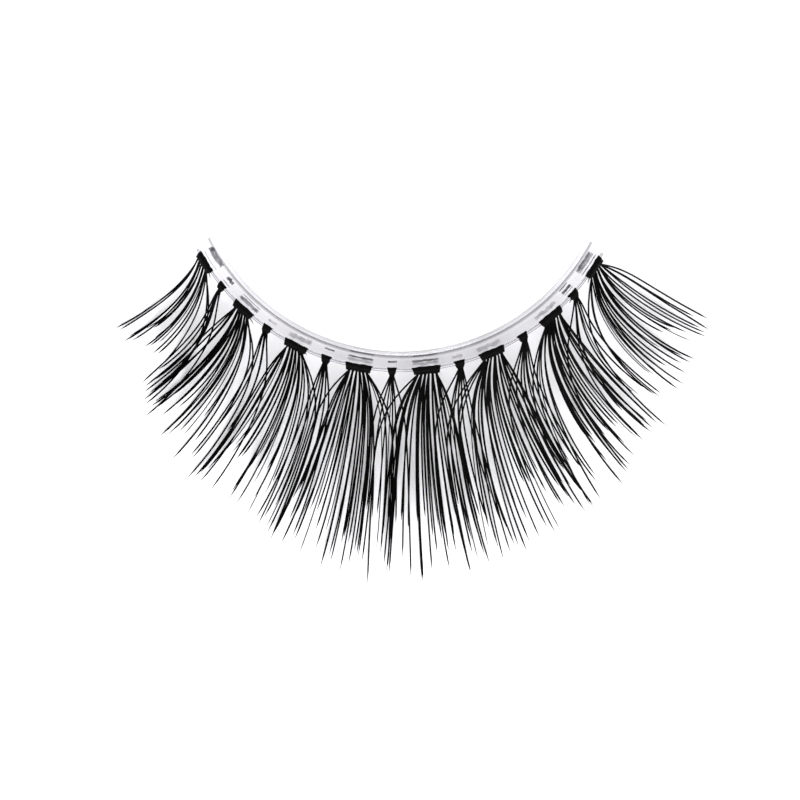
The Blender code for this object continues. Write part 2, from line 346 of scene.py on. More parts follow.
# The thread's two sides look dark, because they bend the light away: how dark, and from how steep on
THREAD_SIDE = (0.13, 0.125, 0.14)
THREAD_SIDE_FROM = ((0.08, 0.0), (0.24, 1.0))
THREAD_ROUGHNESS = (0.08, 0.2)
THREAD_IOR = 1.3
THREAD_SHINE = 0.15
# Where the outermost tuft sits, as a share of the band's half angle, and how wide a wide head is
OUTERMOST = 0.915
WIDE_HEAD = 0.00175

thread_plastic, nodes, links, shader, chart, streaks = new_finish("clear_thread_plastic", 0.3, 20.0, 0.3)
sides = nodes.new("ShaderNodeLayerWeight")
sides.inputs["Blend"].default_value = 0.5
centre = add_blend(nodes, links, streaks, THREAD_CENTRE, THREAD_CLOUD)
edges = add_ramp(nodes, links, sides.outputs["Facing"], THREAD_SIDE_FROM)
links.new(add_blend(nodes, links, edges, centre, THREAD_SIDE), shader.inputs["Base Color"])
links.new(add_range(nodes, links, streaks, *THREAD_ROUGHNESS), shader.inputs["Roughness"])
shader.inputs["Transmission Weight"].default_value = 1.0
shader.inputs["IOR"].default_value = THREAD_IOR
shader.inputs["Specular IOR Level"].default_value = THREAD_SHINE
add_light_passage(nodes, links, shader)

reach = OUTERMOST + (WIDE_HEAD / 2 + THREAD_OVERRUN) / (BAND_ACROSS * BAND_HALF_ANGLE)
points, outward, _ = edge_frame(np.linspace(-reach, reach, THREAD_STEPS + 1))
turn = -np.linspace(0.0, 2 * np.pi, THREAD_SIDES, endpoint=False)
round_outline = np.stack([np.cos(turn), np.sin(turn)], axis=-1) * THREAD_THICK / 2
thread_rings = carried(round_outline + (THREAD_GAP + THREAD_THICK / 2, 0.0), points, outward)
run = np.concatenate([[0.0], np.cumsum(np.linalg.norm(np.diff(points, axis=0), axis=1))])
thread_map = mapped(run[:, None], round_outline[None, :, 0])
thread = make_piece("edge_thread", [(laid(thread_rings)[None], thread_map, thread_plastic)])
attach(thread, "root")
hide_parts("band_thread")


# Tufts: bunches of tapered black polyester fibre. Their root ends are melted into a flat head that
# clasps the band's edge and the thread, and below it they leave in a few close bundles, cross their
# neighbours, and curl up to fine points.
FIT_GAP = 0.00004
WIDE_NECK = 0.00112
NARROW_HEAD = 0.00074
NARROW_NECK = 0.00032
HEAD_FRONT = 0.00048
HEAD_SLOPE_ANGLE = np.radians(64.0)
HEAD_WALL = 0.00005
LIP_THICK = 0.00004
LIP_REACH = 0.00003
NECK_THICK = 0.00030
LONGEST_LASH = 0.0140
ROOT_DROP_ANGLE = np.radians(62.0)
ROOT_DROP_VARIES = 1.2
TIP_RISE_ANGLE = np.radians(8.0)
TIP_RISE_VARIES = 2.5
SPLAY_SHARE = 0.55
NARROW_LIFT = 0.00042
LIFT_FADE = 0.0006
LAYER_GAP = 0.00002
LAYER_GAP_AT_ROOT = 0.00005
LAYER_FADE = 0.0012
FIBRE_SEED = 345
FIBRE_THICK = 0.000118
THICK_VARIES = (0.9, 1.12)
THIN_FIBRE = 0.62
THIN_SHARE = 0.20
ROOT_TO_TIP = 0.06
TIP_SHARE = 0.055
TIP_POINT = 0.12
TIP_POWER = 0.7
FIBRE_SIDES = 5
FIBRE_STEPS = 19
STEP_POWER = 1.25
FIBRE_MAP_STEP = 0.0031
# Lengths: each is its tuft's own, times LONGER, less up to SHORTER_BY for the fibres inside the fan and
# up to EDGE_SHORTER_BY for its outermost two
LONGER = 1.045
SHORTER_BY = 0.36
SHORTER_POWER = 1.25
EDGE_SHORTER_BY = 0.05
# Lanes: how the fibres share out the fan's width, from -1 at its left edge to 1 at its right
WIDE_BUNDLES = 6
BUNDLE_GATHER = 0.25
NECK_FLARE = 1.28
NARROW_FLARE = 0.8
ORDER_WANDER = 0.4
LANE_POWER = 1.25
LANE_WANDER = 0.03
LANE_SWAPS = 0.10
STRAY_FROM = 0.84
# Ways sideways: the share that is gained early, how far down that fades, the sweep and the tip's bend
REACH_SHARE = 0.85
CORE_EARLY = 0.42
STRAY_EARLY = 0.66
NARROW_EARLY = 0.62
EARLY_VARIES = (0.8, 1.2)
CORE_FADE = 0.0030
STRAY_FADE = 0.0027
FADE_VARIES = (0.8, 1.15)
SIDE_SWEEP = 0.035
SWEEP_VARIES = (0.85, 1.15)
SWEEP_FADE = 0.0024
TIP_BEND = 0.026
BEND_CHANGE = 6.0
BEND_VARIES = (0.4, 1.5)
# The fibres on the outer side of the end tufts leave early and arch outwards
OUTER_FROM = 0.45
OUTER_SPAN = 0.35
OUTER_EARLY = 1.0
OUTER_BEND = -0.06
TUFT_COLUMNS = ("kind", "place", "head", "aim_from", "aim_to", "length_from", "length_mid", "length_to",
                "fibres")
TUFTS = (
    ("wide", -0.915, 0.90, -58, -38, 0.53, 0.52, 0.62, 18),
    ("narrow", -0.799, 0.88, -47, -41, 0.59, 0.64, 0.69, 6),
    ("wide", -0.674, 0.92, -51, -31, 0.58, 0.69, 0.77, 24),
    ("narrow", -0.553, 0.95, -35, -27, 0.70, 0.75, 0.78, 6),
    ("wide", -0.420, 0.94, -35, -17, 0.75, 0.80, 0.85, 29),
    ("narrow", -0.291, 0.97, -23, -15, 0.82, 0.87, 0.86, 7),
    ("wide", -0.158, 0.99, -21, 0, 0.88, 0.94, 0.91, 32),
    ("narrow", -0.026, 0.84, -8, 3, 0.88, 0.99, 0.96, 7),
    ("wide", 0.110, 1.04, -6, 14, 0.99, 0.98, 0.95, 32),
    ("narrow", 0.243, 1.00, 5, 18, 0.94, 0.94, 0.89, 8),
    ("wide", 0.377, 1.00, 7, 32, 0.94, 0.91, 0.83, 31),
    ("narrow", 0.514, 1.02, 20, 32, 0.88, 0.83, 0.77, 8),
    ("wide", 0.652, 1.03, 25, 47, 0.84, 0.81, 0.71, 32),
    ("narrow", 0.776, 1.12, 32, 48, 0.77, 0.72, 0.64, 8),
    ("wide", 0.911, 0.95, 41, 68, 0.73, 0.64, 0.61, 28),
)
TUFT_ROWS = [dict(zip(TUFT_COLUMNS, values)) for values in TUFTS]

FIBRE_BLACK = (0.0001, 0.0001, 0.0001)
FIBRE_STREAK = (0.0010, 0.0008, 0.0008)
FIBRE_ROUGHNESS = (0.45, 0.65)
FIBRE_SHINE = 0.03

fibre, nodes, links, shader, chart, streaks = new_finish("black_lash_fibre", 1.2, 3.0, 0.3)
black = add_blend(nodes, links, streaks, FIBRE_BLACK, FIBRE_STREAK)
links.new(black, shader.inputs["Base Color"])
links.new(add_range(nodes, links, streaks, *FIBRE_ROUGHNESS), shader.inputs["Roughness"])
shader.inputs["Specular IOR Level"].default_value = FIBRE_SHINE

HEAD_BLACK = (0.0002, 0.0002, 0.0002)
HEAD_STREAK = (0.0016, 0.0014, 0.0014)
HEAD_PAINTED_SHEEN = (0.005, 0.005, 0.0055)
HEAD_ROUGHNESS = (0.3, 0.55)
HEAD_SHINE = 0.04
HEAD_RELIEF = 0.000012
# A painted highlight: the pressed shoulder of a head carries a grey line that stands in for its sheen:
# where, in millimetres round its outline
PAINTED_SHEEN_LINE = ((0.0, 0.0), (0.27, 0.0), (0.31, 1.0), (0.34, 1.0), (0.38, 0.0))


def add_product(nodes, links, first, second):
    """Two masks multiplied."""
    product = nodes.new("ShaderNodeMath")
    product.operation = "MULTIPLY"
    links.new(first, product.inputs[0])
    links.new(second, product.inputs[1])
    return product.outputs["Value"]


melted, nodes, links, shader, chart, streaks = new_finish("black_melted_head", 0.8, 16.0, 0.3)
black = add_blend(nodes, links, streaks, HEAD_BLACK, HEAD_STREAK)
split = nodes.new("ShaderNodeSeparateXYZ")
links.new(chart.outputs["UV"], split.inputs["Vector"])
# Painted highlight: a grey line along the shoulder, mottled by the streaks
shoulder = add_ramp(nodes, links, split.outputs["X"], PAINTED_SHEEN_LINE)
sheen_line = add_product(nodes, links, shoulder, streaks)
links.new(add_blend(nodes, links, sheen_line, black, HEAD_PAINTED_SHEEN), shader.inputs["Base Color"])
links.new(add_range(nodes, links, streaks, *HEAD_ROUGHNESS), shader.inputs["Roughness"])
shader.inputs["Specular IOR Level"].default_value = HEAD_SHINE
add_relief(nodes, links, shader, streaks, HEAD_RELIEF)

# The melted part of a head reaches down MELTED_SHARE of the way to the neck. Its widths are shares of
# the head's own: at its foot, where the fibres' roots sit inside it, and what the ears add at the top.
# The roots start ROOT_BACK of the front's length above the neck, in ROOT_STEPS
MELTED_SHARE = 0.55
WIDE_FOOT = 0.91
NARROW_FOOT = 0.60
ROOTED_WIDTH = 0.74
ROOT_BACK = 0.75
ROOT_STEPS = (1.0, 0.35)
EAR_WIDTH = 0.05
EAR_DEPTH = 0.12
SHOULDER_ROUND = 0.00006
LIP_ROUND = 0.00001
ROUND_STEPS = 5
RIB_HEIGHT = 0.000007
SIDE_ROUND = 0.000010
WAVE_RATES = (2.3, 5.1, 11.0)
WAVE_SLANT = 4.0
WAVE_START = 6.3
WIDE_RAGGED = 0.000010
NARROW_RAGGED = 0.000005
HEAD_STEPS = 36

# The head's directions and main places, as (outward, up) from the band's edge
HEAD_AXIS = np.array([np.cos(HEAD_SLOPE_ANGLE), -np.sin(HEAD_SLOPE_ANGLE)])
HEAD_FACING = np.array([np.sin(HEAD_SLOPE_ANGLE), np.cos(HEAD_SLOPE_ANGLE)])
HALF_GROOVE = max(BAND_THICK, THREAD_THICK) / 2 + FIT_GAP
GROOVE_FLOOR = THREAD_GAP + THREAD_THICK + FIT_GAP
HEAD_TOP = HALF_GROOVE + LIP_THICK
HEAD_SHOULDER = np.array([GROOVE_FLOOR + HEAD_WALL, HEAD_TOP])


def head_outline():
    """A melted head's outline as (outward, up): upper lip, top, the rounded shoulder and front, back
    along the underside to the lower lip, and the groove round band and thread. The shoulder is a
    parabola through its corner's two neighbours. The outline runs clockwise with outward to the right
    and up above, as the band's does."""
    bend = np.linspace(0.0, 1.0, ROUND_STEPS)[:, None]
    before = HEAD_SHOULDER - (SHOULDER_ROUND, 0.0)
    after = HEAD_SHOULDER + SHOULDER_ROUND * HEAD_AXIS
    rounded = (1 - bend) ** 2 * before + 2 * bend * (1 - bend) * HEAD_SHOULDER + bend ** 2 * after
    front = HEAD_SHOULDER + MELTED_SHARE * HEAD_FRONT * HEAD_AXIS
    back = front - NECK_THICK * HEAD_FACING
    heel = np.array([-LIP_REACH, -HEAD_TOP])
    under = back + (heel - back) * bend
    lip = [(-LIP_REACH, HALF_GROOVE), (-LIP_REACH, HEAD_TOP - LIP_ROUND), (LIP_ROUND - LIP_REACH, HEAD_TOP)]
    groove = [(-LIP_REACH, -HALF_GROOVE), (GROOVE_FLOOR, -HALF_GROOVE), (GROOVE_FLOOR, HALF_GROOVE)]
    return np.concatenate([lip, rounded, [front], under, groove])


def head_rings(row, head, rng):
    """Rings of a melted head from one side to the other, and their map: the outline is set along the
    band's edge at even steps of a half width that narrows evenly from the top to the foot and widens
    to small ears at the top corners. It swells by a shallow sine rib for every four fibres, shrinks
    towards both sides by a high power, and carries the waves of a melted edge, a sum of three sines."""
    outline = head_outline()
    depth = np.clip((outline - outline[2]) @ HEAD_AXIS / (MELTED_SHARE * HEAD_FRONT), 0.0, 1.0)
    below = np.clip(-outline[:, 1] / outline[2, 1], 0.0, 1.0)
    foot = WIDE_FOOT if row["kind"] == "wide" else NARROW_FOOT
    depth = np.maximum(depth, below)
    half = head / 2 * (1.0 - (1.0 - foot) * depth + EAR_WIDTH * np.exp(-depth / EAR_DEPTH))
    place = np.linspace(-1.0, 1.0, HEAD_STEPS + 1)
    point, outward, along = edge_frame(row["place"])
    middle = outline.mean(axis=0)
    away = outline - middle
    away /= np.linalg.norm(away, axis=1, keepdims=True)
    ribs = RIB_HEIGHT * np.abs(np.sin(place * np.pi * row["fibres"] / 4)) - SIDE_ROUND * place ** 8
    lengths = np.concatenate([[0.0], np.cumsum(np.linalg.norm(np.diff(outline, axis=0), axis=1))])
    run = place[:, None] + WAVE_SLANT * lengths[None] / MILLIMETRE
    waves = sum(np.sin(rate * run + rng.uniform(0.0, WAVE_START)) for rate in WAVE_RATES)
    ragged = WIDE_RAGGED if row["kind"] == "wide" else NARROW_RAGGED
    swell = ribs[:, None] + ragged * waves
    section = outline[None] + swell[..., None] * away[None]
    rings = point + section[..., :1] * outward + section[..., 1:] * UP
    rings = rings + (place[:, None] * half[None])[..., None] * along
    chart = mapped(lengths[None], place[:, None] * head / 2 + row["place"])
    return rings, chart


def curl(shares, drop, rise):
    """Outward and downward travel, and slope, along lashes of unit length. The slope eases evenly from
    drop at the root to minus rise at the tip, so the travels are its sine's and cosine's differences
    from the root over the whole change of slope."""
    change = drop + rise
    slope = drop - change * shares
    return (np.sin(drop) - np.sin(slope)) / change, (np.cos(slope) - np.cos(drop)) / change, slope


def fibre_lanes(order, rng):
    """Which lane of the fan each fibre takes: its order's size raised to a power, with its sign kept.
    The core's lanes wander a little and are swapped here and there with a neighbour's. Also says which
    fibres are strays."""
    stray = np.abs(order) > STRAY_FROM
    lane = np.sign(order) * np.abs(order) ** LANE_POWER
    core = np.flatnonzero(~stray)
    swapped = core[np.argsort(np.argsort(order[core] + rng.normal(0.0, LANE_SWAPS, len(core))))]
    lane[core] = lane[swapped] + rng.normal(0.0, LANE_WANDER, len(core))
    return lane, stray


def fibre_paths(row, head, neck, rng):
    """Middle lines, share run, along direction and lengths of a tuft's fibres.

    Each starts inside the head, gathers with its bundle at the neck, and then heads for its own lane.
    Part of its way sideways is an offset that levels off early as a hyperbolic tangent: large in the
    strays, small in the core. They sweep towards the strip's middle at the root, and a cubic share of
    the run bends their tips away from it. On the outer side of the end tufts there is no sweep, and the
    bend goes the other way."""
    wide = row["kind"] == "wide"
    count = row["fibres"]
    point, outward, along = edge_frame(row["place"])
    order = np.linspace(-1.0, 1.0, count)
    order[1:-1] += rng.normal(0.0, ORDER_WANDER / count, count - 2)
    bundle = np.clip(np.floor((order + 1.0) / 2 * WIDE_BUNDLES), 0, WIDE_BUNDLES - 1)
    centre = (bundle + 0.5) / WIDE_BUNDLES * 2 - 1.0
    gathered = (centre + (order - centre) * BUNDLE_GATHER) * NECK_FLARE
    at_neck = gathered if wide else order * NARROW_FLARE
    layer = rng.permutation(np.arange(count) % 3) - 1.0
    lane, stray = fibre_lanes(order, rng)

    aim_middle = (row["aim_from"] + row["aim_to"]) / 2
    aim_half = (row["aim_to"] - row["aim_from"]) / 2
    own = np.arctan2(outward[0], -outward[1])
    off = np.radians(aim_middle + lane * aim_half) - own
    outer = np.clip((order * row["place"] - OUTER_FROM) / OUTER_SPAN, 0.0, 1.0)
    early = np.where(stray, STRAY_EARLY, CORE_EARLY) if wide else NARROW_EARLY
    early = off * (early + (OUTER_EARLY - early) * outer) * rng.uniform(*EARLY_VARIES, count)
    sweep = -SIDE_SWEEP * np.sin(own) * rng.uniform(*SWEEP_VARIES, count) * (1.0 - outer)
    bend = TIP_BEND + (OUTER_BEND - TIP_BEND) * outer
    bend = bend * np.tanh(BEND_CHANGE * row["place"]) * rng.uniform(*BEND_VARIES, count)
    aim = own + (off * (REACH_SHARE + SPLAY_SHARE) - early - sweep - bend) / REACH_SHARE
    length = np.interp(order, (-1.0, 0.0, 1.0), (row["length_from"], row["length_mid"], row["length_to"]))
    shorter = 1.0 - SHORTER_BY * rng.random(count) ** SHORTER_POWER
    shorter[[0, -1]] = 1.0 - EDGE_SHORTER_BY * rng.random(2)
    length = length * shorter * LONGER * LONGEST_LASH

    shares = np.append(np.linspace(0.0, 1.0 - TIP_SHARE, FIBRE_STEPS - 1) ** STEP_POWER, 1.0)
    drop = ROOT_DROP_ANGLE + np.radians(rng.normal(0.0, ROOT_DROP_VARIES, count))[:, None]
    rise = TIP_RISE_ANGLE + np.radians(rng.normal(0.0, TIP_RISE_VARIES, count))[:, None]
    out, down, slope = curl(shares[None], drop, rise)
    run = shares[None] * length[:, None]
    fade = np.where(stray, STRAY_FADE, CORE_FADE) * rng.uniform(*FADE_VARIES, count)
    sideways = early[:, None] * np.tanh(run / fade[:, None]) + sweep[:, None] * np.tanh(run / SWEEP_FADE)
    sideways = (sideways + bend[:, None] * shares[None] ** 3) * length[:, None]
    lift = 0.0 if wide else NARROW_LIFT
    layer_gap = LAYER_GAP + LAYER_GAP_AT_ROOT * np.exp(-run / LAYER_FADE)
    raised = lift * (1.0 - np.exp(-run / LIFT_FADE)) + layer[:, None] * layer_gap

    neck_middle = HEAD_SHOULDER + HEAD_FRONT * HEAD_AXIS - NECK_THICK / 2 * HEAD_FACING
    start = point + neck_middle[0] * outward + neck_middle[1] * UP
    heading = np.stack([np.sin(aim), -np.cos(aim), np.zeros(count)], axis=-1)
    lash = start + (at_neck * neck / 2)[:, None, None] * along + sideways[..., None] * along
    lash = lash + (length[:, None] * out + np.sin(slope) * raised)[..., None] * heading[:, None]
    lash = lash + (np.cos(slope) * raised - length[:, None] * down)[..., None] * UP

    inside = np.array(ROOT_STEPS)
    rooted = order * head / 2 * ROOTED_WIDTH - at_neck * neck / 2
    back_up = -ROOT_BACK * HEAD_FRONT * (HEAD_AXIS[0] * outward + HEAD_AXIS[1] * UP)
    within = lash[:, :1] + inside[None, :, None] * back_up
    within = within + (inside * rooted[:, None])[..., None] * along
    paths = np.concatenate([within, lash], axis=1)
    rooted_shares = np.zeros((count, len(inside)))
    share_run = np.concatenate([rooted_shares, np.broadcast_to(shares, (count, FIBRE_STEPS))], axis=1)
    return paths, share_run, along, length


def fibre_rings(paths, share_run, along, thick):
    """Rings round each fibre's middle line: a regular polygon square to the line, whose radius stays
    nearly even and then runs out to a fine point over the tip's share."""
    travel = np.gradient(paths, axis=1)
    travel /= np.linalg.norm(travel, axis=2, keepdims=True)
    side = along - (travel @ along)[..., None] * travel
    side /= np.linalg.norm(side, axis=2, keepdims=True)
    front = np.cross(travel, side)
    point = np.clip((1.0 - share_run) / TIP_SHARE, TIP_POINT, 1.0) ** TIP_POWER
    radius = thick[:, None] / 2 * (1.0 - ROOT_TO_TIP * np.sqrt(share_run)) * point
    turn = np.linspace(0.0, 2 * np.pi, FIBRE_SIDES, endpoint=False)
    ring = np.cos(turn)[:, None] * side[:, :, None] + np.sin(turn)[:, None] * front[:, :, None]
    return paths[:, :, None] + radius[..., None, None] * ring


def above_ground(points, clearance):
    """Points moved up where they would be nearer the ground than clearance."""
    lifted = points.copy()
    lifted[..., 2] = np.maximum(lifted[..., 2], clearance)
    return lifted


# Tails: at these heads a thread of melted fibre was drawn out of a lower corner. Side is -1 for the
# left corner and 1 for the right, and length is in millimetres
TAIL_COLUMNS = ("tuft", "side", "length")
TAILS = ((1, 1, 0.36), (3, 1, 0.42), (5, 1, 0.16), (14, -1, 0.20), (15, -1, 0.34))
TAIL_ROWS = [dict(zip(TAIL_COLUMNS, values)) for values in TAILS]
TAIL_THICK = 0.00009
TAIL_BELOW = 0.00012
TAIL_ROOT_SHARE = 0.4
TAIL_OUT_SHARE = 0.3
TAIL_DROOP_SHARE = 0.2
TAIL_TAPER = 0.85
TAIL_TAPER_POWER = 1.5
TAIL_STEPS = 9
TAIL_SIDES = 6


def tail_rings(row, head, tail):
    """Rings of a tail: it leaves the head's lower corner along the band's edge, droops a little as a
    parabola and thins to a point."""
    share = np.linspace(0.0, 1.0, TAIL_STEPS)
    point, outward, along = edge_frame(row["place"])
    reach = tail["length"] * MILLIMETRE
    from_corner = reach * ((1.0 + TAIL_ROOT_SHARE) * share - TAIL_ROOT_SHARE)
    sideways = tail["side"] * (head / 2 * WIDE_FOOT + from_corner)
    away = GROOVE_FLOOR + TAIL_OUT_SHARE * reach * share ** 2
    path = point + sideways[:, None] * along + away[:, None] * outward
    path = path - (TAIL_BELOW + TAIL_DROOP_SHARE * reach * share ** 2)[:, None] * UP
    turn = tail["side"] * np.linspace(0.0, 2 * np.pi, TAIL_SIDES, endpoint=False)
    radius = TAIL_THICK / 2 * (1.0 - TAIL_TAPER * share ** TAIL_TAPER_POWER)
    ring = np.cos(turn)[:, None] * outward + np.sin(turn)[:, None] * UP
    return path[:, None] + radius[:, None, None] * ring


counts = {"wide": 0, "narrow": 0}
for number, row in enumerate(TUFT_ROWS):
    kind = row["kind"]
    counts[kind] += 1
    wide = kind == "wide"
    head = row["head"] * (WIDE_HEAD if wide else NARROW_HEAD)
    neck = row["head"] * (WIDE_NECK if wide else NARROW_NECK)
    rng = np.random.default_rng(FIBRE_SEED + number)
    paths, share_run, along, length = fibre_paths(row, head, neck, rng)
    paths = above_ground(laid(paths), FIBRE_THICK / 2)
    count = len(paths)
    thin = rng.random(count) < THIN_SHARE
    thick = FIBRE_THICK * np.where(thin, THIN_FIBRE, rng.uniform(*THICK_VARIES, count))
    # The two outermost fibres on each side stand alone, so none of them is a thin one
    thick[[0, 1, -2, -1]] = FIBRE_THICK
    rings = fibre_rings(paths, share_run, turned(along), thick)
    chart = mapped(share_run * length[:, None], np.arange(count)[:, None] * FIBRE_MAP_STEP)
    chart = np.broadcast_to(chart[:, :, None], (*rings.shape[:3], 2))
    melted_rings, melted_chart = head_rings(row, head, rng)
    parts = [(laid(melted_rings)[None], melted_chart, melted), (rings, chart, fibre)]
    for tail in TAIL_ROWS:
        if tail["tuft"] == number + 1:
            drawn = laid(tail_rings(row, head, tail))[None]
            drawn_run = np.linspace(0.0, MILLIMETRE, TAIL_STEPS)
            parts.append((drawn, mapped(drawn_run[:, None], np.zeros(TAIL_SIDES)), melted))
    tuft = make_piece(f"{kind}_lashes_{counts[kind]}", parts)
    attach(tuft, "root")
    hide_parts(f"tuft_{kind}_{counts[kind]}")


# Painted reflections: thin dark slabs laid inside the band above the heads, which paint the black heads'
# reflection in the clear plastic. They show through the band as grey patches, each as wide as its head.
# Inset is how far a patch's middle lies in from the band's outer edge and width its size across, both in
# millimetres.
PAINTED_REFLECTION_COLUMNS = ("tuft", "inset", "width", "shade")
PAINTED_REFLECTIONS = (
    (1, 0.69, 0.40, 0.90), (1, 0.22, 0.06, 0.40), (2, 0.54, 0.28, 0.90), (2, 0.22, 0.06, 0.50),
    (3, 0.60, 0.07, 0.60), (3, 0.37, 0.28, 0.72), (4, 0.43, 0.20, 0.32), (5, 0.43, 0.36, 0.42),
    (6, 0.55, 0.13, 0.85), (7, 0.53, 0.15, 1.00), (7, 0.88, 0.10, 0.85), (7, 0.32, 0.24, 0.30),
    (8, 0.49, 0.17, 1.00), (9, 0.51, 0.16, 1.00), (9, 0.88, 0.12, 0.80), (9, 0.31, 0.26, 0.36),
    (10, 0.38, 0.25, 0.26), (11, 0.39, 0.36, 0.30), (13, 0.39, 0.30, 0.36), (14, 0.69, 0.10, 0.80),
    (14, 0.44, 0.22, 1.00), (14, 0.24, 0.06, 0.55), (15, 0.65, 0.22, 1.00), (15, 0.46, 0.24, 0.62),
    (15, 0.22, 0.09, 0.75),
)
PAINTED_REFLECTION_SEED = 7
PAINTED_REFLECTION_THICK = 0.00002
PAINTED_REFLECTION_STEPS = 24
PAINTED_REFLECTION_SPOTS = 9
PAINTED_REFLECTION_RAGGED = 0.10
PAINTED_REFLECTION_BLOTCHES = (0.70, 1.20)
PAINTED_REFLECTION_ENDS = ((0.85, 1.0), (1.0, 0.2))
PAINTED_REFLECTION_MAP_STEP = 3.0
PAINTED_REFLECTION_SOFT = ((0.0, 0.0), (0.22, 1.0), (0.78, 1.0), (1.0, 0.0))
PAINTED_REFLECTION_PATCHY = (0.45, 1.0)
PAINTED_REFLECTION_DARK = (0.02, 0.018, 0.022)
PAINTED_REFLECTION_LIGHT = (0.05, 0.046, 0.055)
PAINTED_REFLECTION_ROUGHNESS = 0.6
PAINTED_REFLECTION_SHINE = 0.1


def reflection_patch(patch, rng):
    """Rings, map and shades of one patch of painted reflection: a flat slab of six points round, laid in
    the band's middle along its edge. Its two long sides and its shade wander evenly between a few random
    spots, and the shade fades at both ends."""
    row = TUFT_ROWS[patch["tuft"] - 1]
    half = row["head"] * (WIDE_HEAD if row["kind"] == "wide" else NARROW_HEAD) / 2
    swing = half / (BAND_ACROSS * BAND_HALF_ANGLE)
    points, outward, _ = edge_frame(row["place"] + np.linspace(-swing, swing, PAINTED_REFLECTION_STEPS + 1))
    spots = np.linspace(-1.0, 1.0, PAINTED_REFLECTION_SPOTS)
    steps = np.linspace(-1.0, 1.0, PAINTED_REFLECTION_STEPS + 1)
    ragged = [np.interp(steps, spots, rng.normal(0.0, PAINTED_REFLECTION_RAGGED, PAINTED_REFLECTION_SPOTS)) for _ in range(2)]
    ragged = patch["width"] * np.array(ragged)
    near = -(patch["inset"] - patch["width"] / 2 + ragged[0]) * MILLIMETRE
    far = -(patch["inset"] + patch["width"] / 2 + ragged[1]) * MILLIMETRE
    out = np.stack([far, (near + far) / 2, near, near, (near + far) / 2, far], axis=1)
    up = np.repeat([PAINTED_REFLECTION_THICK / 2, -PAINTED_REFLECTION_THICK / 2], 3)
    slab = points[:, None] + out[..., None] * outward[:, None] + up[None, :, None] * UP
    across = np.array([0.0, 0.5, 1.0, 1.0, 0.5, 0.0])
    lengthwise = steps * half / MILLIMETRE + patch["tuft"] * PAINTED_REFLECTION_MAP_STEP
    chart = np.stack(np.broadcast_arrays(lengthwise[:, None], across[None]), axis=-1)
    shades = patch["shade"] * np.interp(steps, spots, rng.uniform(*PAINTED_REFLECTION_BLOTCHES, PAINTED_REFLECTION_SPOTS))
    shades = shades * np.interp(np.abs(steps), *PAINTED_REFLECTION_ENDS)
    return laid(slab), chart, np.repeat(shades, len(across))


# A dark see-through sheet that paints the black heads' reflection in the clear band
reflection_finish, nodes, links, shader, chart, streaks = new_finish("painted_head_reflection", 1.4, 6.0, 0.25)
split = nodes.new("ShaderNodeSeparateXYZ")
links.new(chart.outputs["UV"], split.inputs["Vector"])
soft = add_ramp(nodes, links, split.outputs["Y"], PAINTED_REFLECTION_SOFT)
tone = nodes.new("ShaderNodeAttribute")
tone.attribute_name = "shade"
patchy = add_range(nodes, links, streaks, *PAINTED_REFLECTION_PATCHY)
cover = add_product(nodes, links, add_product(nodes, links, soft, patchy), tone.outputs["Fac"])
links.new(cover, shader.inputs["Alpha"])
grey = add_blend(nodes, links, streaks, PAINTED_REFLECTION_DARK, PAINTED_REFLECTION_LIGHT)
links.new(grey, shader.inputs["Base Color"])
shader.inputs["Roughness"].default_value = PAINTED_REFLECTION_ROUGHNESS
shader.inputs["Specular IOR Level"].default_value = PAINTED_REFLECTION_SHINE

rng = np.random.default_rng(PAINTED_REFLECTION_SEED)
patches = [reflection_patch(dict(zip(PAINTED_REFLECTION_COLUMNS, values)), rng) for values in PAINTED_REFLECTIONS]
rings, charts, shades = (np.array(made) for made in zip(*patches))
reflection_piece = make_piece("painted_head_reflections", [(rings, charts, reflection_finish)])
shade_layer = reflection_piece.data.attributes.new("shade", "FLOAT", "POINT")
shade_layer.data.foreach_set("value", shades.astype(np.float32).ravel())
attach(reflection_piece, "root")


# Ground: a sheet of smooth white card with a fine paper grain, large enough to fill every view. The
# strip rests on it by its lowest fibres.
GROUND_HALF = 1.5
GROUND_GRAIN = 900.0
GROUND_SHADE = (0.92, 0.915, 0.94)
GROUND_LIGHT = (0.955, 0.95, 0.97)
GROUND_ROUGHNESS = 0.9
GROUND_SHINE = 0.1

card = bpy.data.materials.new("white_card")
card.use_nodes = True
nodes, links = card.node_tree.nodes, card.node_tree.links
shader = nodes["Principled BSDF"]
coordinates = nodes.new("ShaderNodeTexCoord")
grain = nodes.new("ShaderNodeTexNoise")
grain.inputs["Scale"].default_value = GROUND_GRAIN
grain.inputs["Detail"].default_value = 4.0
links.new(coordinates.outputs["Object"], grain.inputs["Vector"])
white = add_blend(nodes, links, grain.outputs["Fac"], GROUND_SHADE, GROUND_LIGHT)
links.new(white, shader.inputs["Base Color"])
shader.inputs["Roughness"].default_value = GROUND_ROUGHNESS
shader.inputs["Specular IOR Level"].default_value = GROUND_SHINE
mesh = bpy.data.meshes.new("white_card")
corners = GROUND_HALF * np.array([(-1.0, -1.0, 0.0), (1.0, -1.0, 0.0), (1.0, 1.0, 0.0), (-1.0, 1.0, 0.0)])
mesh.from_pydata(corners, [], [(0, 1, 2, 3)])
mesh.materials.append(card)
ground = bpy.data.objects.new("white_card", mesh)
bpy.context.scene.collection.objects.link(ground)


# Light: an even pale surround, a little darker at the horizon, and one large soft lamp that hangs half a
# metre above the strip, on the side of the tips. White card is to come out plain white, so the picture
# is shown with the Standard view.
HORIZON = (0.62, 0.62, 0.66)
OVERHEAD = (1.0, 1.0, 1.0)
LAMP_WIDTH = 0.45
LAMP_DEPTH = 0.35
LAMP_POWER = 4.3
LAMP_PLACE = (0.04, -0.36, 0.46)
LAMP_TIP_ANGLE = np.radians(38.0)
LAMP_TURN_ANGLE = np.radians(6.3)

